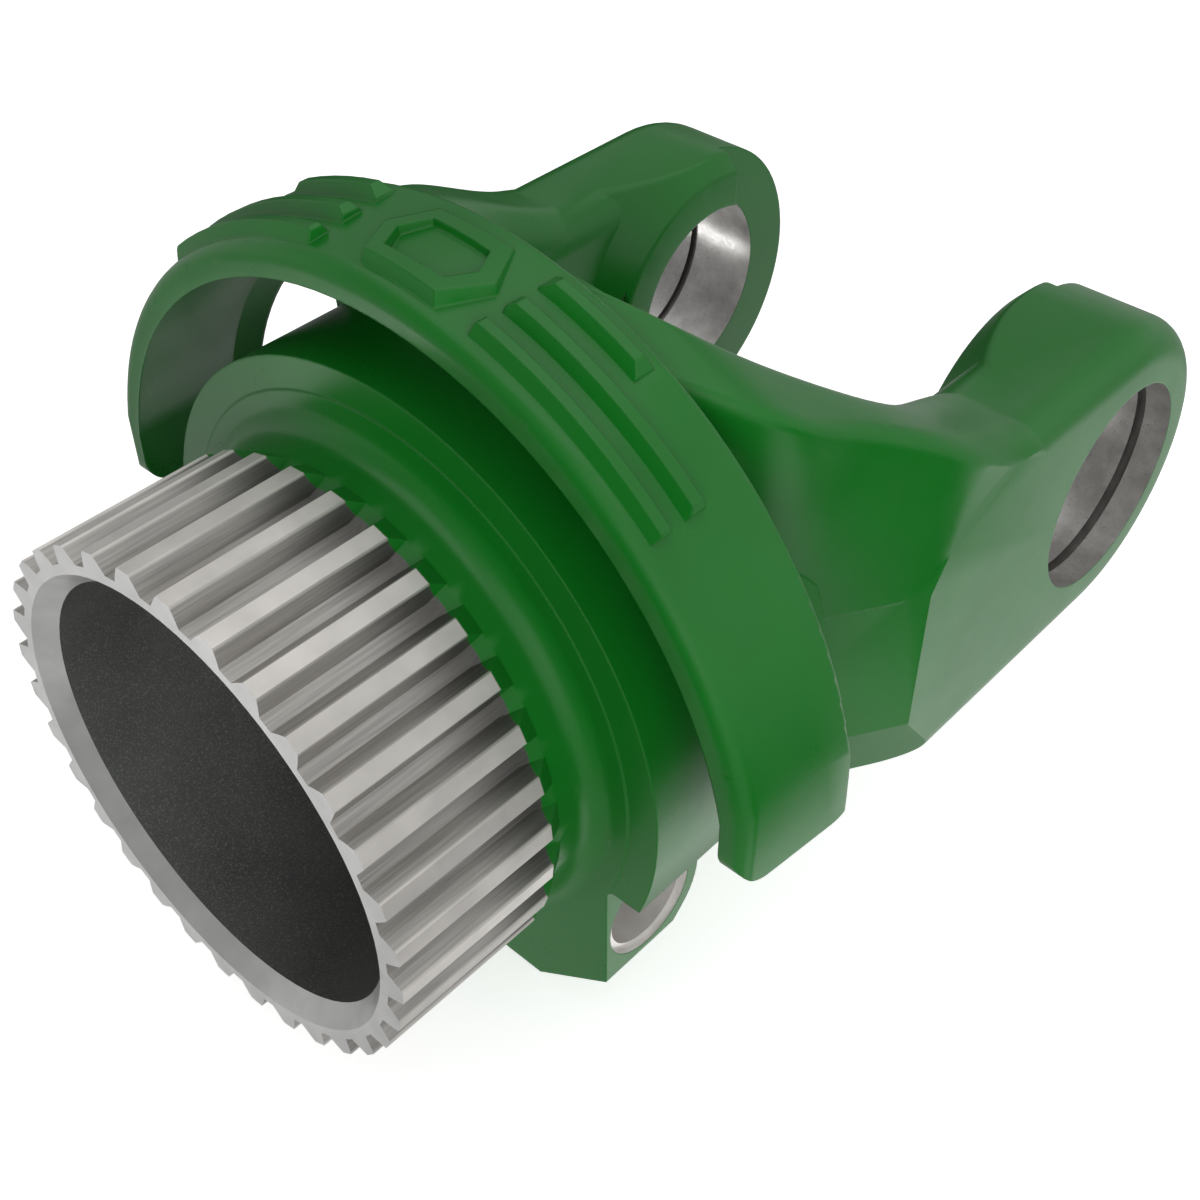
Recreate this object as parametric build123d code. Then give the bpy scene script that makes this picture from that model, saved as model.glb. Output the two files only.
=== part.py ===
from build123d import *
import math
import os

# Forged yoke for a driveline: one forging with a splined hollow stub, a hub, an open guard band
# over the hub, two straps and two ears. X runs along the hub, from the splined end (-X) to the
# ears (+X). Y is the axis of the cross bores. Z is up, through the crown of the guard band.
# The origin is the joint centre, where the hub axis meets the axis of the cross bores. All in mm.

# Cross bores and their retaining ring grooves
CROSS_BORE_D = 30.2
CUP_SPAN = 80.0
RING_GROOVE_W = 1.3
RING_GROOVE_D = 31.6

# Ears: flat outer faces, coned bosses on the inside, a relief past the bore for the cross
EAR_SPAN = 90.0
EAR_R = 22.9
EAR_EDGE_R = 5.0
EAR_INNER_SPAN = 58.0
EAR_INNER_EDGE_R = 5.0
EAR_BOSS_SPAN = 50.0
EAR_BOSS_R = 20.4
EAR_BOSS_SLOPE_DEG = 49.0
EAR_BOSS_EDGE_R = 1.2
EAR_BOSS_RIM_R = 1.6
RELIEF_X = 5.2

# Pads: the flat outer faces of the ears end in three flank faces towards the hub
PAD_END_X = -45.3
PAD_CORNER_X = -36.8
PAD_TOP_Z = 24.0
PAD_UPPER_Z = 10.3
PAD_LOWER_Z = -11.0
PAD_BOTTOM_Z = -21.5
PAD_BOTTOM_X = -37.2
FLANK_TAPER_DEG = 31.0

# Hub, its bore and the throat between the arms
HUB_R = 40.6
HUB_FRONT_X = -88.4
HUB_REAR_X = -58.0
HUB_STEP_R = 36.5
HUB_STEP = 0.2
BORE_R = 27.5
THROAT_X = -46.5
THROAT_CORNER_R = 14.0
THROAT_EDGE_R = 4.0

# Splined stub: involute teeth of module 2 with a 30 degree pressure angle
STUB_FRONT_X = -118.25
TEETH = 32
MODULE = 2.0
PRESSURE_ANGLE_DEG = 30.0
TIP_R = 33.0
ROOT_R = 30.8
NECK_R = 31.6
NECK_FOOT_X = -97.5
SPLINE_END_X = -96.3
RUNOUT_DEG = 30.0
NECK_BLEND_R = 3.0
BORE_LEAD_R = 29.57
BORE_LEAD_X = 2.25

# How far joined forms run into each other, cutting forms run past what they cut, and the arms
# and the web between them reach into the hub
SUNK = 0.5
PAST = 1.0
ARM_DEPTH = 4.0
WEB_DEPTH = 2.0

# Guard band, set by its outer radius and its wall
BAND_OUT_R = 54.6
BAND_WALL = 5.0
BAND_IN_R = BAND_OUT_R - BAND_WALL
BAND_DRAFT = 1.4
BAND_FRONT_X = -88.2
BAND_REAR_X = -72.5
BAND_LIP_R = BAND_IN_R - 1.6
BAND_LIP_X = -69.6
BAND_LEG_Z = 1.3
BAND_LEG_OUT_Y = BAND_OUT_R - 1.4
BAND_LEG_IN_Y = BAND_IN_R - 1.0
BAND_EDGE_R = 2.2
BAND_REAR_R = 0.8
BAND_CORNER_R = 4.5
GAP_END_X = -67.5
GAP_END_R = BAND_LIP_R - 1.2

# Straps. They leave the band below its rim, between two angles from the -Y side
STRAP_START_X = -74.5
STRAP_START_R = BAND_OUT_R - 0.5
STRAP_START_DEGREES = (79.6, 56.8)
STRAP_START_FOOT_Y = 26.0
STRAP_START_ROUND = 2.5

# The straps' further stations along X: inner top edge (y, z), outer top edge (y, z), foot y,
# and the rounding of the inner and outer edges
STRAP_STATIONS = (
    (-66.0, (20.0, BAND_OUT_R - 5.7), (34.2, BAND_OUT_R - 12.8), 30.5, 3.0, 2.5),
    (-57.0, (25.0, 42.0), (37.8, 36.9), 38.0, 4.0, 2.5),
    (-48.0, (28.0, 35.4), (41.4, 33.0), 43.4, 6.0, 3.0),
    (-40.0, (29.3, 30.0), (44.6, 29.2), 45.6, 7.0, 4.0),
    (-34.0, (29.3, 26.6), (45.15, 26.4), 45.3, 6.0, 5.0),
    (-28.0, (29.3, 24.0), (45.15, 23.9), 45.3, 5.0, 5.0),
    (-22.0, (29.5, 22.2), (44.6, 21.8), 45.3, 5.0, 5.0),
)

# Ribs across the band: front and rear edge at the foot, start and end angle from the -Y side
RIBS = (
    (-86.2, -83.3, 46.5, 75.5),
    (-81.6, -78.6, 46.5, 75.5),
    (-76.8, -73.9, 61.0, 75.5),
    (-86.2, -83.3, 100.5, 130.5),
    (-81.6, -78.6, 100.5, 130.5),
    (-76.8, -73.9, 100.5, 116.5),
)
RIB_FOOT = 0.8
RIB_HEIGHT = 1.4
RIB_END_DEG = 50.0

# Raised mark on the crown of the band
MARK_X = -80.2
MARK_Y = -3.3
MARK_LENGTH = 16.0
MARK_WIDTH = 11.0
MARK_LINE = 2.4
MARK_HEIGHT = 1.1
MARK_BEVEL = 0.5

# Cross bolt boss under the hub
BOLT_X = -80.6
BOLT_Z = -23.2
BOLT_D = 12.2
BOLT_SEAT_D = 14.2
BOLT_SEAT_DEPTH = 0.7
BOLT_FACE_Y = 33.5
BOSS_BOTTOM_Z = -39.8
BOSS_SIDE_Z = -31.2
BOSS_CORNER_Y = 22.1
BOSS_BACK_R = 9.0
BOSS_BACK_DEG = 45.0
LEDGE_Z = -13.5
LEDGE_CORNER_R = 1.2


def block(x0, x1, y0, y1, z0, z1):
    """A box between two corners."""
    return Pos((x0 + x1) / 2, (y0 + y1) / 2, (z0 + z1) / 2) * Box(x1 - x0, y1 - y0, z1 - z0)


def along_x(radius, x0, x1):
    """A cylinder on the hub axis."""
    base = Plane(origin=(x0, 0, 0), z_dir=(1, 0, 0))
    return base * Cylinder(radius, x1 - x0, align=(Align.CENTER, Align.CENTER, Align.MIN))


def along_y(radius, y0, y1, x=0.0, z=0.0):
    """A cylinder parallel to the cross bores."""
    base = Plane(origin=(x, y0, z), z_dir=(0, 1, 0))
    return base * Cylinder(radius, y1 - y0, align=(Align.CENTER, Align.CENTER, Align.MIN))


def turned(points, degrees=360.0):
    """A solid of revolution about the hub axis from (x, radius) points."""
    outline = make_face(Polyline(*[(x, 0, r) for x, r in points], close=True))
    return revolve(outline, axis=Axis.X, revolution_arc=degrees)


def both_sides(solid):
    """A feature of the near side (-Y) with its mirror image on the far side."""
    return solid + mirror(solid, about=Plane.XZ)


def involute(angle_deg):
    """The involute function of a pressure angle, in radians."""
    angle = math.radians(angle_deg)
    return math.tan(angle) - angle


def tooth_half_angle(radius):
    """Half the angle a spline tooth covers at a radius, in radians."""
    pitch_r = MODULE * TEETH / 2
    base_r = pitch_r * math.cos(math.radians(PRESSURE_ANGLE_DEG))
    pressure = math.degrees(math.acos(base_r / radius))
    return math.pi / (2 * TEETH) + involute(PRESSURE_ANGLE_DEG) - involute(pressure)


def spline_outline():
    """The toothed outline in the YZ plane, with a tooth gap centred on the -Y axis."""
    pitch = 2 * math.pi / TEETH
    radii = (ROOT_R, (ROOT_R + TIP_R) / 2, TIP_R)

    def point(radius, angle):
        return Vector(0, -radius * math.cos(angle), radius * math.sin(angle))

    edges = []
    for tooth in range(TEETH):
        middle = (tooth + 0.5) * pitch
        rise = [point(r, middle - tooth_half_angle(r)) for r in radii]
        fall = [point(r, middle + tooth_half_angle(r)) for r in reversed(radii)]
        next_foot = point(ROOT_R, middle + pitch - tooth_half_angle(ROOT_R))
        edges += [
            ThreePointArc(*rise),
            ThreePointArc(rise[-1], point(TIP_R, middle), fall[0]),
            ThreePointArc(*fall),
            ThreePointArc(fall[-1], point(ROOT_R, middle + pitch / 2), next_foot),
        ]
    return Wire(edges)


def runout_end():
    """Where the run-out cone of the teeth meets the neck."""
    return SPLINE_END_X + (TIP_R - ROOT_R) / math.tan(math.radians(RUNOUT_DEG))


def splined_stub():
    """The toothed stub, with the teeth run out by a cone into the plain neck."""
    end_x = runout_end()
    teeth = extrude(make_face(spline_outline()), amount=end_x - STUB_FRONT_X, dir=(1, 0, 0))
    teeth = Pos(STUB_FRONT_X, 0, 0) * teeth
    clear_r = TIP_R + PAST
    clear_x = SPLINE_END_X - PAST / math.tan(math.radians(RUNOUT_DEG))
    envelope = turned(
        (
            (STUB_FRONT_X, 0),
            (STUB_FRONT_X, clear_r),
            (clear_x, clear_r),
            (end_x, ROOT_R),
            (end_x, 0),
        )
    )
    return teeth & envelope


def hub():
    """The hub with its stepped front face, the neck behind the spline and a coned rear."""
    step_x = HUB_FRONT_X + HUB_STEP
    neck_x = SPLINE_END_X + (TIP_R - NECK_R) / math.tan(math.radians(RUNOUT_DEG)) - SUNK / 2
    foot_r = ROOT_R - SUNK / 2
    blend_x = HUB_FRONT_X - NECK_BLEND_R
    blend_r = NECK_R + NECK_BLEND_R
    mid = NECK_BLEND_R * math.sqrt(0.5)
    neck = Polyline(
        (NECK_FOOT_X, 0, 0),
        (NECK_FOOT_X, 0, foot_r),
        (neck_x, 0, NECK_R),
        (blend_x, 0, NECK_R),
    )
    blend = ThreePointArc(
        (blend_x, 0, NECK_R),
        (blend_x + mid, 0, blend_r - mid),
        (HUB_FRONT_X, 0, blend_r),
    )
    rest = Polyline(
        (HUB_FRONT_X, 0, blend_r),
        (HUB_FRONT_X, 0, HUB_STEP_R),
        (step_x, 0, HUB_STEP_R),
        (step_x, 0, HUB_R),
        (HUB_REAR_X, 0, HUB_R),
        (THROAT_X, 0, HUB_R + HUB_REAR_X - THROAT_X),
        (THROAT_X, 0, 0),
        (NECK_FOOT_X, 0, 0),
    )
    return revolve(make_face([neck, blend, rest]), axis=Axis.X)


def bolt_boss():
    """The boss under the hub that carries the cross bolt, rounded about the bolt at its rear."""
    side = BOLT_FACE_Y
    across = make_face(
        Polyline(
            (0, -side, LEDGE_Z),
            (0, -side, BOSS_SIDE_Z),
            (0, -BOSS_CORNER_Y, BOSS_BOTTOM_Z),
            (0, BOSS_CORNER_Y, BOSS_BOTTOM_Z),
            (0, side, BOSS_SIDE_Z),
            (0, side, LEDGE_Z),
            close=True,
        )
    )
    rear_x = BOLT_X + BOSS_BACK_R
    boss = Pos(HUB_FRONT_X, 0, 0) * extrude(across, amount=rear_x - HUB_FRONT_X, dir=(1, 0, 0))

    def on_back(degrees):
        angle = math.radians(degrees)
        return (BOLT_X + BOSS_BACK_R * math.cos(angle), 0, BOLT_Z - BOSS_BACK_R * math.sin(angle))

    turn = on_back(BOSS_BACK_DEG)
    foot_x = turn[0] - (turn[2] - BOSS_BOTTOM_Z) / math.tan(math.radians(90 - BOSS_BACK_DEG))
    back = ThreePointArc(on_back(0), on_back(BOSS_BACK_DEG / 2), turn)
    rest = Polyline(
        turn,
        (foot_x, 0, BOSS_BOTTOM_Z),
        (HUB_FRONT_X, 0, BOSS_BOTTOM_Z),
        (HUB_FRONT_X, 0, LEDGE_Z),
        (rear_x, 0, LEDGE_Z),
        on_back(0),
    )
    return boss & extrude(make_face([back, rest]), amount=side + PAST, dir=(0, 1, 0), both=True)


def milled_recesses():
    """The space milled away above the ledges, down each side of the bolt boss."""
    recess = block(HUB_FRONT_X - PAST, BOLT_X + BOLT_SEAT_D, -HUB_R - PAST, -BOLT_FACE_Y, -HUB_R, LEDGE_Z)
    corner = recess.edges().filter_by(Axis.X).sort_by(Axis.Z)[-2:].sort_by(Axis.Y)[-1:]
    return both_sides(fillet(corner, LEDGE_CORNER_R))


def bolt_hole():
    """The cross bolt hole with a shallow seat on each side."""
    hole = along_y(BOLT_D / 2, -HUB_R, HUB_R, BOLT_X, BOLT_Z)
    seat_y = -BOLT_FACE_Y + BOLT_SEAT_DEPTH
    seat = along_y(BOLT_SEAT_D / 2, -HUB_R, seat_y, BOLT_X, BOLT_Z)
    return hole + both_sides(seat)


def guard_band():
    """The open band over the hub, with flat legs, a rounded front edge and a rear lip."""
    front, rear, lip = BAND_FRONT_X, BAND_REAR_X, BAND_LIP_X
    section = make_face(
        Polyline(
            (front, 0, 0),
            (front, 0, BAND_OUT_R - BAND_DRAFT),
            (rear, 0, BAND_OUT_R),
            (lip, 0, BAND_LIP_R),
            (lip, 0, 0),
            close=True,
        )
    )
    upper = section.vertices().filter_by(lambda v: v.Z > BAND_LIP_R + PAST)
    section = fillet(upper.sort_by(Axis.X)[0], BAND_EDGE_R)
    upper = section.vertices().filter_by(lambda v: v.Z > BAND_LIP_R + PAST)
    section = fillet(upper.sort_by(Axis.X)[-1], BAND_REAR_R)
    outer = revolve(section, axis=Axis.X)
    wide = BAND_LEG_OUT_Y
    narrow = wide - BAND_DRAFT
    plan = make_face(
        Polyline(
            (front, -narrow),
            (rear, -wide),
            (lip, -wide),
            (lip, wide),
            (rear, wide),
            (front, narrow),
            close=True,
        )
    )
    plan = fillet(plan.vertices().group_by(Axis.X)[0], BAND_EDGE_R)
    outer &= extrude(plan, amount=BAND_OUT_R + PAST, dir=(0, 0, 1))
    side = block(front, lip, -BAND_OUT_R, BAND_OUT_R, BAND_LEG_Z, BAND_OUT_R + PAST)
    side = fillet(side.edges().filter_by(Axis.Y).group_by(Axis.Z)[0], BAND_CORNER_R)
    outer &= side
    inner = along_x(BAND_IN_R, front - PAST, rear - SUNK)
    inner += turned(
        (
            (rear - SUNK, 0),
            (rear - SUNK, BAND_IN_R),
            (lip + PAST, BAND_LIP_R - SUNK),
            (lip + PAST, 0),
        )
    )
    width = BAND_LEG_IN_Y
    return outer - (inner & block(front - PAST, lip + PAST, -width, width, -PAST, BAND_OUT_R))


def band_radius(x):
    """The outer radius of the drafted band."""
    return BAND_OUT_R - BAND_DRAFT * (BAND_REAR_X - x) / (BAND_REAR_X - BAND_FRONT_X)


def rib(front_x, rear_x, start_deg, end_deg):
    """One rib round the band, bevelled along both sides and sloped off at both ends."""
    foot = BAND_IN_R + BAND_WALL / 2
    top = band_radius((front_x + rear_x) / 2) + RIB_HEIGHT
    outline = (
        (front_x, foot),
        (front_x, band_radius(front_x)),
        (front_x + RIB_FOOT, top),
        (rear_x - RIB_FOOT, top),
        (rear_x, band_radius(rear_x)),
        (rear_x, foot),
    )
    ring = Rot(90 - end_deg, 0, 0) * turned(outline, end_deg - start_deg)
    for degrees, way in ((start_deg, -1), (end_deg, 1)):
        angle = math.radians(degrees)
        slope = math.radians(degrees + way * (90 - RIB_END_DEG))
        end = (rear_x, -BAND_OUT_R * math.cos(angle), BAND_OUT_R * math.sin(angle))
        ring -= beyond(end, (0, -math.cos(slope), math.sin(slope)))
    return ring


def beyond(point, normal):
    """Everything past a plane, for trimming."""
    size = 4 * EAR_SPAN
    base = Plane(origin=point, z_dir=normal)
    return base * Box(size, size, size, align=(Align.CENTER, Align.CENTER, Align.MIN))


def strap():
    """The near strap: from the rear rim of the band down to the top of the near ear."""
    starts = [math.radians(degrees) for degrees in STRAP_START_DEGREES]
    rim = [(STRAP_START_R * math.cos(a), STRAP_START_R * math.sin(a)) for a in starts]
    start = (STRAP_START_X, *rim, STRAP_START_FOOT_Y, STRAP_START_ROUND, STRAP_START_ROUND)
    sections = []
    for x, inner, outer, foot_y, inner_r, outer_r in (start, *STRAP_STATIONS):
        outline = Polyline(
            (x, -inner[0], inner[1]),
            (x, -outer[0], outer[1]),
            (x, -foot_y, PAD_UPPER_Z),
            (x, -inner[0], PAD_UPPER_Z),
            close=True,
        )
        section = make_face(outline)
        for (y, z), radius in ((inner, inner_r), (outer, outer_r)):
            corner = section.vertices().sort_by_distance((x, -y, z))[0]
            section = fillet(corner, radius)
        sections.append(section)
    body = loft(sections) - beyond((0, -EAR_SPAN / 2, 0), (0, -1, 0))
    under = turned(
        (
            (STRAP_START_X - PAST, 0),
            (STRAP_START_X - PAST, BAND_IN_R + SUNK),
            (BAND_REAR_X, BAND_IN_R + SUNK),
            (BAND_LIP_X, BAND_LIP_R),
            (GAP_END_X, GAP_END_R),
            (GAP_END_X, 0),
        )
    )
    return body - under


def flank_normal(slope_x, slope_z):
    """Normal of the flank face through a pad edge with this slope and the tapered crease."""
    taper = math.radians(FLANK_TAPER_DEG)
    crease = Vector(-math.cos(taper), math.sin(taper), 0)
    normal = crease.cross(Vector(slope_x, 0, slope_z)).normalized()
    return normal if normal.Y < 0 else -normal


def ear_boss():
    """The coned disc inside the near ear that the cross cup seats against."""
    top_y = -EAR_BOSS_SPAN / 2
    deep_y = -EAR_INNER_SPAN / 2 - EAR_INNER_EDGE_R
    deep_r = EAR_BOSS_R + (top_y - deep_y) * math.tan(math.radians(EAR_BOSS_SLOPE_DEG))
    section = make_face(
        Polyline((0, deep_y), (deep_r, deep_y), (EAR_BOSS_R, top_y), (0, top_y), close=True)
    )
    top = section.vertices().group_by(Axis.Y)[-1].sort_by(Axis.X)[-1]
    return revolve(fillet(top, EAR_BOSS_EDGE_R), axis=Axis.Y)


def arm():
    """The near arm and ear: a plate with a round end and a boss, trimmed by the flank faces."""
    face_y = -EAR_SPAN / 2
    inner_y = -EAR_INNER_SPAN / 2
    boss_y = -EAR_BOSS_SPAN / 2
    root_x = HUB_REAR_X - ARM_DEPTH

    def round_ended(end_y):
        return block(root_x, 0, face_y, end_y, -EAR_R, EAR_R) + along_y(EAR_R, face_y, end_y)

    plate = round_ended(inner_y)
    for side, radius in ((0, EAR_EDGE_R), (-1, EAR_INNER_EDGE_R)):
        rim = plate.edges().group_by(Axis.Y)[side]
        plate = fillet(rim.filter_by(lambda e: e.center().X > root_x + PAST), radius)
    plate += ear_boss() & round_ended(boss_y)
    plate = fillet(plate.edges().filter_by(on_boss_rim), EAR_BOSS_RIM_R)
    pad_end = Vector(PAD_END_X, face_y, 0)
    upper = Vector(PAD_END_X, face_y, PAD_UPPER_Z)
    lower = Vector(PAD_END_X, face_y, PAD_LOWER_Z)
    plate -= beyond(pad_end, flank_normal(0, 1))
    plate -= beyond(upper, flank_normal(PAD_CORNER_X - PAD_END_X, PAD_TOP_Z - PAD_UPPER_Z))
    plate -= beyond(lower, flank_normal(PAD_BOTTOM_X - PAD_END_X, PAD_BOTTOM_Z - PAD_LOWER_Z))
    return plate


def on_boss_rim(edge):
    """Whether an edge of the near arm runs where its boss meets its outline."""
    near = 0.001

    def on_outline(point):
        from_axis = abs(point.Z) if point.X < 0 else math.hypot(point.X, point.Z)
        limit_y = -EAR_INNER_SPAN / 2 - EAR_INNER_EDGE_R
        return abs(from_axis - EAR_R) < near and point.Y > limit_y + near

    return all(on_outline(edge @ share) for share in (0.05, 0.5, 0.95))


def fork_root():
    """The web between the arms, hollowed by the rounded throat."""
    half = EAR_INNER_SPAN / 2
    wide = half + EAR_INNER_EDGE_R + SUNK
    end_x = THROAT_X + THROAT_CORNER_R
    web = block(HUB_REAR_X - WEB_DEPTH, end_x, -wide, wide, -EAR_R, EAR_R)
    throat = block(THROAT_X, THROAT_X + HUB_R, -half, half, -HUB_R, HUB_R)
    web -= fillet(throat.edges().filter_by(Axis.Z).group_by(Axis.X)[0], THROAT_CORNER_R)
    rim = web.faces().sort_by(Axis.Z)[0].edges() + web.faces().sort_by(Axis.Z)[-1].edges()
    rim = [e for e in rim if abs((e @ 0.5).Y) < half and (e @ 0.5).X > HUB_REAR_X]
    return fillet(rim, THROAT_EDGE_R)


def cross_bores():
    """Both cross bores with their ring grooves."""
    out = EAR_SPAN / 2
    bores = along_y(CROSS_BORE_D / 2, -out - PAST, out + PAST)
    groove_y = CUP_SPAN / 2
    groove = along_y(RING_GROOVE_D / 2, -groove_y - RING_GROOVE_W, -groove_y)
    return bores + both_sides(groove)


def hub_bore():
    """The bore right through the hub into the throat, with a lead at the spline end."""
    front = STUB_FRONT_X - PAST
    lead_slope = (BORE_LEAD_R - BORE_R) / BORE_LEAD_X
    return turned(
        (
            (front, 0),
            (front, BORE_LEAD_R + lead_slope),
            (STUB_FRONT_X + BORE_LEAD_X, BORE_R),
            (THROAT_X + BORE_R, BORE_R),
            (THROAT_X + BORE_R, 0),
        )
    )


def raised_mark():
    """A plain raised outline on the crown of the band: a long six-sided ring."""
    def six_sided(inset, z):
        half_x = MARK_WIDTH / 2 - inset
        half_y = MARK_LENGTH / 2 - inset
        shoulder_y = half_y - half_x / 2
        return make_face(
            Polyline(
                (MARK_X, MARK_Y + half_y, z),
                (MARK_X + half_x, MARK_Y + shoulder_y, z),
                (MARK_X + half_x, MARK_Y - shoulder_y, z),
                (MARK_X, MARK_Y - half_y, z),
                (MARK_X - half_x, MARK_Y - shoulder_y, z),
                (MARK_X - half_x, MARK_Y + shoulder_y, z),
                close=True,
            )
        )

    foot_z = BAND_IN_R + BAND_WALL / 2
    top_z = BAND_OUT_R + MARK_HEIGHT
    outer = loft([six_sided(-MARK_BEVEL, foot_z), six_sided(MARK_BEVEL, top_z)])
    inner = loft([six_sided(MARK_LINE + MARK_BEVEL, foot_z), six_sided(MARK_LINE - MARK_BEVEL, top_z)])
    crown = along_x(top_z - BAND_DRAFT / 2, MARK_X - MARK_WIDTH, MARK_X + MARK_WIDTH)
    return (outer - inner) & crown


def yoke():
    """The whole forging."""
    body = hub() + bolt_boss() - milled_recesses()
    body += both_sides(arm() + strap())
    body += fork_root()
    half = EAR_INNER_SPAN / 2
    body -= block(RELIEF_X, EAR_R + PAST, -half, half, -EAR_R - PAST, EAR_R + PAST)
    body += guard_band()
    for sizes in RIBS:
        body += rib(*sizes)
    body += raised_mark()
    body += splined_stub()
    return body - hub_bore() - cross_bores() - bolt_hole()


if __name__ == "__main__":
    os.makedirs("parts", exist_ok=True)
    export_step(yoke(), "parts/yoke.step")
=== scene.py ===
import math

import bmesh
import bpy
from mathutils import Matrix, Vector


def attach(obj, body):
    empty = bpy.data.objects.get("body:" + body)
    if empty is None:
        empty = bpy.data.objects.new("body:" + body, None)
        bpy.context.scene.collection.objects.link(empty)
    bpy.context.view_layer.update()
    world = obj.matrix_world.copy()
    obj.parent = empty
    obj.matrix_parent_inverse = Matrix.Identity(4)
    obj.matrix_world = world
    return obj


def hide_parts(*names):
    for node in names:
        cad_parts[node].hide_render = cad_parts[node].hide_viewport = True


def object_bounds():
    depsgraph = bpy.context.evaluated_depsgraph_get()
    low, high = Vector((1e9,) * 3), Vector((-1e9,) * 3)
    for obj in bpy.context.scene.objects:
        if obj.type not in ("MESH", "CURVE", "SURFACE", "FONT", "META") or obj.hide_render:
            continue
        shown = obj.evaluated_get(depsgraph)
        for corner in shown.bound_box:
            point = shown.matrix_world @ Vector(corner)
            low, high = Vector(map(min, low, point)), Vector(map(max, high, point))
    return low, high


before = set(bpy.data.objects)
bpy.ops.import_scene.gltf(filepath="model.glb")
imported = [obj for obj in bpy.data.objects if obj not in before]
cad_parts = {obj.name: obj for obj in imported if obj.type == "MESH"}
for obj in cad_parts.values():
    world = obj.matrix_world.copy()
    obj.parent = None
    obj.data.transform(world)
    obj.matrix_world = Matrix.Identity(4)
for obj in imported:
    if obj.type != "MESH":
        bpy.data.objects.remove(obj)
cad_box = [list(corner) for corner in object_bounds()]

# Metres in a millimetre
MM = 0.001

# Sizes of the yoke that its finishes follow, in millimetres
SPLINE_TIP_R = 33.0
TEETH = 32
STUB_FRONT_X = -118.25
LAND_END_X = -96.3
GAP_END_X = -95.6
NECK_X = -93.4
HUB_BORE_R = 27.5
BORE_LEAD_R = 29.57
BORE_LEAD_X = 2.25
CROSS_BORE_R = 15.1
CROSS_GROOVE_R = 15.8
GROOVE_OUT_Y = 42.0
BOLT_X = -80.6
BOLT_Z = -23.2
BOLT_R = 6.1
SEAT_R = 7.1
SEAT_Y = 32.8
BOLT_FACE_Y = 33.5
EAR_INSIDE_Y = 24.0
FORK_X = -40.0

# How near a face lies to a size to count as on it, in millimetres, and how far the normal of a
# bore's wall may lean along the bore
NEAR_MM = 0.1
SIDEWAYS = 0.5

# Mesh finishing
MERGE_DISTANCE = 0.002 * MM
CREASE_ANGLE = math.radians(20)


# Colours
def linear(hex_colour):
    """An sRGB hex colour as linear RGBA."""
    channels = [int(hex_colour[i:i + 2], 16) / 255 for i in (1, 3, 5)]
    turned = [c / 12.92 if c <= 0.04045 else ((c + 0.055) / 1.055) ** 2.4 for c in channels]
    return (*turned, 1.0)


# Nodes
def add(tree, kind, sockets, **settings):
    """Adds a node and gives its output. Each socket takes a value or another node's output."""
    node = tree.nodes.new(kind)
    for name, value in settings.items():
        setattr(node, name, value)
    for name, value in sockets.items():
        if isinstance(value, bpy.types.NodeSocket):
            tree.links.new(value, node.inputs[name])
        else:
            node.inputs[name].default_value = value
    return next((socket for socket in node.outputs if socket.enabled), None)


def finish(name, build):
    """A material with one Principled shader, whose sockets build(tree, place) gives."""
    material = bpy.data.materials.new(name)
    material.use_nodes = True
    tree = material.node_tree
    tree.nodes.clear()
    place = tree.nodes.new("ShaderNodeTexCoord").outputs["Object"]
    shader = add(tree, "ShaderNodeBsdfPrincipled", build(tree, place))
    add(tree, "ShaderNodeOutputMaterial", {"Surface": shader})
    return material


def per_mm(size):
    """The scale of a pattern whose features are this many millimetres across."""
    return 1 / (size * MM)


# Satin enamel sprayed over forged steel: a deep green with a soft gloss and a faint orange peel.
# It gathers on edges, so they read a little rounded.
ENAMEL_GREENS = ("#0c6718", "#117620")


def enamel_colour(tree, place):
    """The green of the enamel, slightly cloudy where the coat is thicker."""
    cloud = add(tree, "ShaderNodeTexNoise", {"Vector": place, "Scale": per_mm(16), "Detail": 2.0})
    thin, thick = ENAMEL_GREENS
    return add(
        tree,
        "ShaderNodeMix",
        {0: cloud, 6: linear(thin), 7: linear(thick)},
        data_type="RGBA",
    )


def enamel_sockets(tree, place):
    grain = add(tree, "ShaderNodeTexNoise", {"Vector": place, "Scale": per_mm(5), "Detail": 3.0})
    gloss = add(tree, "ShaderNodeMapRange", {"Value": grain, "To Min": 0.24, "To Max": 0.34})
    rounded = add(tree, "ShaderNodeBevel", {"Radius": 0.35 * MM}, samples=8)
    peel = add(tree, "ShaderNodeTexNoise", {"Vector": place, "Scale": per_mm(1.5), "Detail": 0.0})
    bump = add(
        tree,
        "ShaderNodeBump",
        {"Strength": 0.03, "Distance": 0.2 * MM, "Height": peel, "Normal": rounded},
    )
    colour = enamel_colour(tree, place)
    return {"Base Color": colour, "Roughness": gloss, "IOR": 1.5, "Normal": bump}


# Hobbed steel: satin lands and flanks with cutter marks along the teeth. The tooth gaps carry
# painted shade, darker towards their run-out. The masked enamel stops square at the end of
# each land and in a scallop in each tooth gap.
MARK_STRETCH = 0.03
# Painted shade in the tooth gaps: it starts at this X, in millimetres, and at the run-out it mixes
# in this share of a near-black grey
PAINTED_SHADE_START_X = -107.0
RUN_OUT_PAINTED_SHADE = 0.75

# The lands' finish fades in between these depths below the tooth tips, in millimetres
LAND_BLEND = (0.4, 0.15)

# The scallop starts at this cosine of the turn within a tooth, one in the middle of a gap. The
# enamel's edge is this many millimetres soft
SCALLOP_START = -0.6
PAINT_EDGE = 0.15


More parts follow.
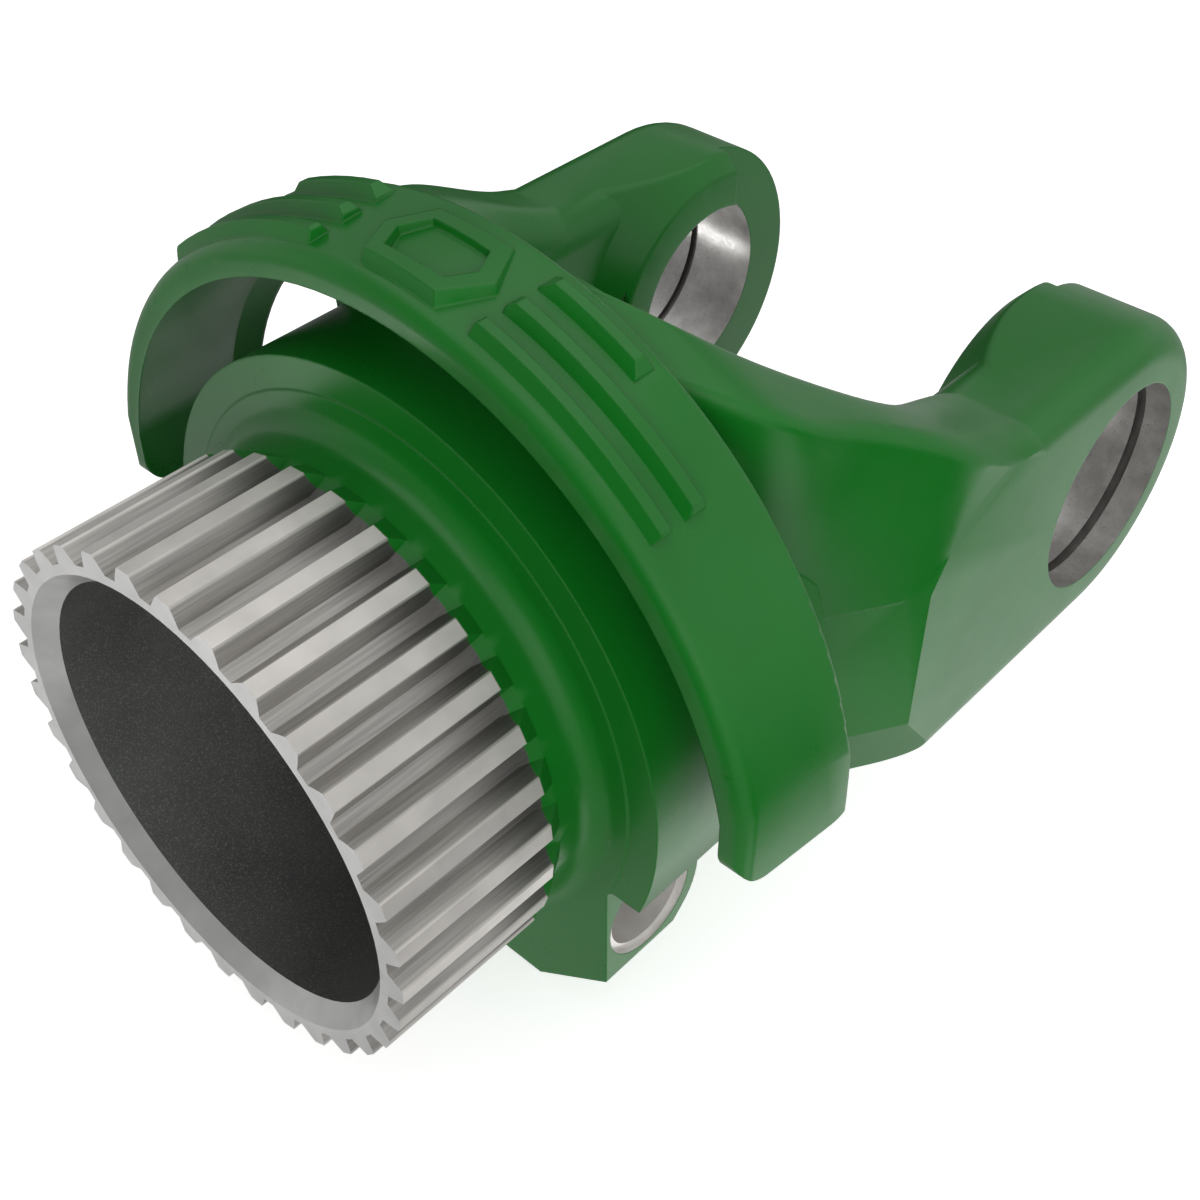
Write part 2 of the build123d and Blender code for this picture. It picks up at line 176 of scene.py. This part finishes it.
def paint_share(tree, place):
    """One where the enamel covers the run-out of the teeth, and nought on bare steel."""
    away = add(tree, "ShaderNodeSeparateXYZ", {"Vector": place})
    sides = away.node.outputs
    turn = add(tree, "ShaderNodeMath", {0: sides["Z"], 1: sides["Y"]}, operation="ARCTAN2")
    phase = add(tree, "ShaderNodeMath", {0: turn, 1: TEETH}, operation="MULTIPLY")
    gap = add(tree, "ShaderNodeMath", {0: phase}, operation="COSINE")
    line = add(
        tree,
        "ShaderNodeMapRange",
        {
            "Value": gap,
            "From Min": SCALLOP_START,
            "To Min": LAND_END_X * MM,
            "To Max": GAP_END_X * MM,
        },
        interpolation_type="SMOOTHERSTEP",
    )
    past = add(tree, "ShaderNodeMath", {0: sides["X"], 1: line}, operation="SUBTRACT")
    return add(tree, "ShaderNodeMapRange", {"Value": past, "From Max": PAINT_EDGE * MM})


def gap_colour(tree, place, marks):
    """The flanks and gaps: cutter marks in steel, and painted shade darker towards the run-out."""
    marked = add(
        tree,
        "ShaderNodeMix",
        {0: marks, 6: linear("#7b7874"), 7: linear("#d8d5d0")},
        data_type="RGBA",
    )
    along = add(tree, "ShaderNodeSeparateXYZ", {"Vector": place})
    # Painted shade: the gaps grow darker towards their run-out by the collar
    run_out_painted_shade = add(
        tree,
        "ShaderNodeMapRange",
        {
            "Value": along,
            "From Min": PAINTED_SHADE_START_X * MM,
            "From Max": LAND_END_X * MM,
            "To Max": RUN_OUT_PAINTED_SHADE,
        },
        interpolation_type="SMOOTHSTEP",
    )
    return add(
        tree,
        "ShaderNodeMix",
        {0: run_out_painted_shade, 6: marked, 7: linear("#2c2b29")},
        data_type="RGBA",
    )


def land_colour(tree, place):
    """The paler, slightly stained steel of the lands."""
    stain = add(tree, "ShaderNodeTexNoise", {"Vector": place, "Scale": per_mm(5), "Detail": 4.0})
    return add(
        tree,
        "ShaderNodeMix",
        {0: stain, 6: linear("#c4c1bd"), 7: linear("#f2eee8")},
        data_type="RGBA",
    )


def land_share(tree, place):
    """One on the lands and nought below them, from the distance to the hub axis."""
    across = add(tree, "ShaderNodeMapping", {"Vector": place, "Scale": (0, 1, 1)})
    radius = add(tree, "ShaderNodeVectorMath", {0: across}, operation="LENGTH")
    low, high = ((SPLINE_TIP_R - below) * MM for below in LAND_BLEND)
    return add(tree, "ShaderNodeMapRange", {"Value": radius, "From Min": low, "From Max": high})


def hobbed_sockets(tree, place):
    drawn_out = add(tree, "ShaderNodeMapping", {"Vector": place, "Scale": (MARK_STRETCH, 1, 1)})
    marks = add(
        tree,
        "ShaderNodeTexNoise",
        {"Vector": drawn_out, "Scale": per_mm(0.35), "Detail": 3.0, "Roughness": 0.6},
    )
    steel = add(
        tree,
        "ShaderNodeMix",
        {
            0: land_share(tree, place),
            6: gap_colour(tree, place, marks),
            7: land_colour(tree, place),
        },
        data_type="RGBA",
    )
    paint = paint_share(tree, place)
    green = enamel_colour(tree, place)
    colour = add(tree, "ShaderNodeMix", {0: paint, 6: steel, 7: green}, data_type="RGBA")
    metal = add(tree, "ShaderNodeMapRange", {"Value": paint, "To Min": 0.65, "To Max": 0.0})
    gloss = add(tree, "ShaderNodeMapRange", {"Value": marks, "To Min": 0.36, "To Max": 0.5})
    return {"Base Color": colour, "Metallic": metal, "Roughness": gloss}


# Bored steel: the honed walls of the cross bores, slightly blotched, with a sparkle in their gloss
def bored_sockets(tree, place):
    blotch = add(
        tree,
        "ShaderNodeTexNoise",
        {"Vector": place, "Scale": per_mm(4), "Detail": 5.0, "Roughness": 0.65},
    )
    colour = add(
        tree,
        "ShaderNodeMix",
        {0: blotch, 6: linear("#7d7b78"), 7: linear("#f0eeeb")},
        data_type="RGBA",
    )
    grain = add(tree, "ShaderNodeTexNoise", {"Vector": place, "Scale": per_mm(0.4), "Detail": 3.0})
    gloss = add(tree, "ShaderNodeMapRange", {"Value": grain, "To Min": 0.18, "To Max": 0.48})
    return {"Base Color": colour, "Metallic": 0.7, "Roughness": gloss}


# Faced steel: the end of the stub and its lead, turned bright, so they mirror the studio softly
def faced_sockets(tree, place):
    cloud = add(tree, "ShaderNodeTexNoise", {"Vector": place, "Scale": per_mm(5), "Detail": 4.0})
    colour = add(
        tree,
        "ShaderNodeMix",
        {0: cloud, 6: linear("#c9c9c8"), 7: linear("#f4f3f1")},
        data_type="RGBA",
    )
    grain = add(tree, "ShaderNodeTexNoise", {"Vector": place, "Scale": per_mm(0.5), "Detail": 3.0})
    gloss = add(tree, "ShaderNodeMapRange", {"Value": grain, "To Min": 0.26, "To Max": 0.38})
    return {"Base Color": colour, "Metallic": 0.75, "Roughness": gloss}


# Reamed steel: the bolt hole and its seats, which keep a pale, even sheen
def reamed_sockets(tree, place):
    cloud = add(tree, "ShaderNodeTexNoise", {"Vector": place, "Scale": per_mm(3), "Detail": 3.0})
    colour = add(
        tree,
        "ShaderNodeMix",
        {0: cloud, 6: linear("#dedad6"), 7: linear("#f6f4f1")},
        data_type="RGBA",
    )
    return {"Base Color": colour, "Metallic": 0.5, "Roughness": 0.24}


# Grooved steel: the floor of the retaining ring grooves, coloured dark as painted shade in the
# groove
def groove_sockets(tree, place):
    groove_shade_mottle = add(tree, "ShaderNodeTexNoise", {"Vector": place, "Scale": per_mm(2), "Detail": 3.0})
    # Both greys are painted shade, darker than the bored steel of the walls; the noise only
    # mottles them
    colour = add(
        tree,
        "ShaderNodeMix",
        {0: groove_shade_mottle, 6: linear("#605e5b"), 7: linear("#93908c")},
        data_type="RGBA",
    )
    return {"Base Color": colour, "Metallic": 0.8, "Roughness": 0.42}


# Phosphated steel: the dark, cloudy matt skin inside the hub bore, with a pale speckle, drawn a
# little coarser than the real one so that it shows
def phosphated_sockets(tree, place):
    grain = add(
        tree,
        "ShaderNodeTexNoise",
        {"Vector": place, "Scale": per_mm(0.25), "Detail": 3.0, "Roughness": 0.7},
    )
    speckle = add(tree, "ShaderNodeMapRange", {"Value": grain, "From Min": 0.5, "From Max": 0.75})
    cloud = add(tree, "ShaderNodeTexNoise", {"Vector": place, "Scale": per_mm(14), "Detail": 4.0})
    coat = add(
        tree,
        "ShaderNodeMix",
        {0: cloud, 6: linear("#393b39"), 7: linear("#666865")},
        data_type="RGBA",
    )
    colour = add(
        tree,
        "ShaderNodeMix",
        {0: speckle, 6: coat, 7: linear("#83837f")},
        data_type="RGBA",
    )
    return {"Base Color": colour, "Metallic": 0.2, "Roughness": 0.55}


FINISHES = (
    ("satin_green_enamel", enamel_sockets),
    ("hobbed_steel", hobbed_sockets),
    ("bored_steel", bored_sockets),
    ("faced_steel", faced_sockets),
    ("reamed_steel", reamed_sockets),
    ("grooved_steel", groove_sockets),
    ("phosphated_steel", phosphated_sockets),
)
ENAMEL, HOBBED, BORED, FACED, REAMED, GROOVED, PHOSPHATED = range(len(FINISHES))


# The forging
def finish_of(centre, normal):
    """Which finish covers a face, from its centre in millimetres and its normal."""
    x, y, z = centre
    from_hub = math.hypot(y, z)
    from_cross = math.hypot(x, z)
    from_bolt = math.hypot(x - BOLT_X, z - BOLT_Z)
    if abs(y) > EAR_INSIDE_Y and from_cross < CROSS_GROOVE_R + NEAR_MM:
        if from_cross > CROSS_BORE_R + NEAR_MM and abs(y) < GROOVE_OUT_Y:
            return GROOVED
        if abs(normal.y) < SIDEWAYS:
            return BORED
    if from_bolt < BOLT_R + NEAR_MM and from_hub > HUB_BORE_R + NEAR_MM:
        return REAMED
    if from_bolt < SEAT_R + NEAR_MM and SEAT_Y - NEAR_MM < abs(y) < BOLT_FACE_Y - NEAR_MM:
        return REAMED
    if from_hub < HUB_BORE_R + NEAR_MM and x < FORK_X:
        return PHOSPHATED
    if x < STUB_FRONT_X + NEAR_MM or (from_hub < BORE_LEAD_R and x < STUB_FRONT_X + BORE_LEAD_X):
        return FACED
    return HOBBED if x < NECK_X and from_hub < SPLINE_TIP_R + NEAR_MM else ENAMEL


def forging():
    """A joined-up copy of the CAD forging, shaded smooth between its creases."""
    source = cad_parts["yoke"]
    mesh = source.data.copy()
    mesh.name = "yoke_forging"
    mesh.materials.clear()
    for name, build in FINISHES:
        mesh.materials.append(finish(name, build))
    work = bmesh.new()
    work.from_mesh(mesh)
    bmesh.ops.remove_doubles(work, verts=work.verts, dist=MERGE_DISTANCE)
    bmesh.ops.recalc_face_normals(work, faces=work.faces)
    for face in work.faces:
        face.smooth = True
        face.material_index = finish_of(face.calc_center_median() / MM, face.normal)
    for edge in work.edges:
        if len(edge.link_faces) == 2:
            edge.smooth = edge.calc_face_angle() < CREASE_ANGLE
    work.to_mesh(mesh)
    work.free()
    if "custom_normal" in mesh.attributes:
        mesh.attributes.remove(mesh.attributes["custom_normal"])
    piece = bpy.data.objects.new("yoke_forging", mesh)
    bpy.context.scene.collection.objects.link(piece)
    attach(piece, "root")
    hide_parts("yoke")


# Floor and walls
FLOOR_GAP = 0.2 * MM
FLOOR_HALF = 3.0
FLOOR_GLOW = 0.62

# Light: grey above and below the horizon, with soft dark and bright patches. Each patch gives its
# azimuth, elevation and half width in degrees, and its level. It is full inside its core and gone
# at its reach, which are shares of the half width
HORIZON = 0.2
SKY_LEVEL = 0.8
GROUND_LEVEL = 0.5
PATCH_CORE = 0.5
PATCH_REACH = 1.5
PATCHES = (
    (60, 50, 50, 0.5),
    (165, 30, 32, 0.3),
    (135, -45, 40, 0.5),
    (-170, -8, 28, 0.1),
    (50, -5, 16, 0.05),
    (-75, -31, 17, 0.0),
    (-22, -45, 18, 1.1),
    (-36, -54, 11, 1.7),
    (-90, -51, 11, 1.2),
    (142, -32, 6, 9.0),
)

# Softboxes, all facing the middle of the yoke: name, place, size, watts, and whether glossy
# surfaces mirror it
YOKE_MIDDLE = (-0.05, 0, 0)
SOFTBOXES = (
    ("overhead", (0.1, 0.1, 1.2), (1.6, 1.6), 4, True),
    ("fill", (-0.9, -0.85, 0.25), (1.0, 0.8), 7, False),
)

# Camera, solved from the yoke's own sizes
EYE = (-0.177087, -0.113360, 0.139307)
LOOKING = (0.5483, 0.5000, -0.6703)
LENS_MM = 50
SENSOR_MM = 36
CLIP_START = 0.01


def backdrop(level):
    """A plain white floor with plain white walls far off, seen by the camera alone."""
    mesh = bpy.data.meshes.new("backdrop")
    around = ((-1, -1), (1, -1), (1, 1), (-1, 1))
    corners = len(around)
    foot = [(x * FLOOR_HALF, y * FLOOR_HALF, level) for x, y in around]
    top = [(x, y, FLOOR_HALF) for x, y, z in foot]
    walls = []
    for here in range(corners):
        there = (here + 1) % corners
        walls.append((here, there, there + corners, here + corners))
    mesh.from_pydata(foot + top, [], [tuple(range(corners)), *walls])
    white = {
        "Base Color": linear("#f6f6f6"),
        "Roughness": 0.9,
        "Emission Color": linear("#ffffff"),
        "Emission Strength": FLOOR_GLOW,
    }
    mesh.materials.append(finish("matt_white_floor", lambda tree, place: white))
    room = bpy.data.objects.new("backdrop", mesh)
    room.visible_glossy = False
    room.visible_diffuse = False
    room.visible_shadow = False
    bpy.context.scene.collection.objects.link(room)


def surroundings():
    """A soft grey studio all round, as one world shader."""
    world = bpy.data.worlds.new("studio")
    world.use_nodes = True
    tree = world.node_tree
    tree.nodes.clear()
    way = tree.nodes.new("ShaderNodeTexCoord").outputs["Generated"]
    height = add(tree, "ShaderNodeSeparateXYZ", {"Vector": way}).node.outputs["Z"]
    level = add(
        tree,
        "ShaderNodeMapRange",
        {
            "Value": height,
            "From Min": -HORIZON,
            "From Max": HORIZON,
            "To Min": GROUND_LEVEL,
            "To Max": SKY_LEVEL,
        },
        interpolation_type="SMOOTHSTEP",
    )
    for azimuth, elevation, width, patch_level in PATCHES:
        a, e, w = (math.radians(angle) for angle in (azimuth, elevation, width))
        middle = (math.cos(e) * math.cos(a), math.cos(e) * math.sin(a), math.sin(e))
        near = add(tree, "ShaderNodeVectorMath", {0: way, 1: middle}, operation="DOT_PRODUCT")
        share = add(
            tree,
            "ShaderNodeMapRange",
            {
                "Value": near,
                "From Min": math.cos(PATCH_REACH * w),
                "From Max": math.cos(PATCH_CORE * w),
            },
            interpolation_type="SMOOTHSTEP",
        )
        level = add(tree, "ShaderNodeMix", {0: share, 2: level, 3: patch_level}, data_type="FLOAT")
    glow = add(tree, "ShaderNodeBackground", {"Strength": level})
    add(tree, "ShaderNodeOutputWorld", {"Surface": glow})
    bpy.context.scene.world = world


def softboxes():
    """A broad overhead softbox, and a fill from the front that glossy surfaces don't mirror."""
    for name, place, size, watts, in_gloss in SOFTBOXES:
        lamp = bpy.data.lights.new(name, "AREA")
        lamp.shape = "RECTANGLE"
        lamp.size, lamp.size_y = size
        lamp.energy = watts
        thing = bpy.data.objects.new(name, lamp)
        thing.visible_glossy = in_gloss
        thing.location = place
        way = Vector(YOKE_MIDDLE) - Vector(place)
        thing.rotation_euler = way.to_track_quat("-Z", "Y").to_euler()
        bpy.context.scene.collection.objects.link(thing)


def camera():
    """The camera of the photograph."""
    lens = bpy.data.cameras.new("camera")
    lens.lens = LENS_MM
    lens.sensor_width = SENSOR_MM
    lens.clip_start = CLIP_START
    eye = bpy.data.objects.new("camera", lens)
    eye.location = EYE
    eye.rotation_euler = Vector(LOOKING).to_track_quat("-Z", "Y").to_euler()
    bpy.context.scene.collection.objects.link(eye)
    bpy.context.scene.camera = eye


forging()
backdrop(cad_box[0][2] - FLOOR_GAP)
surroundings()
softboxes()
camera()
bpy.context.scene.view_settings.view_transform = "Standard"
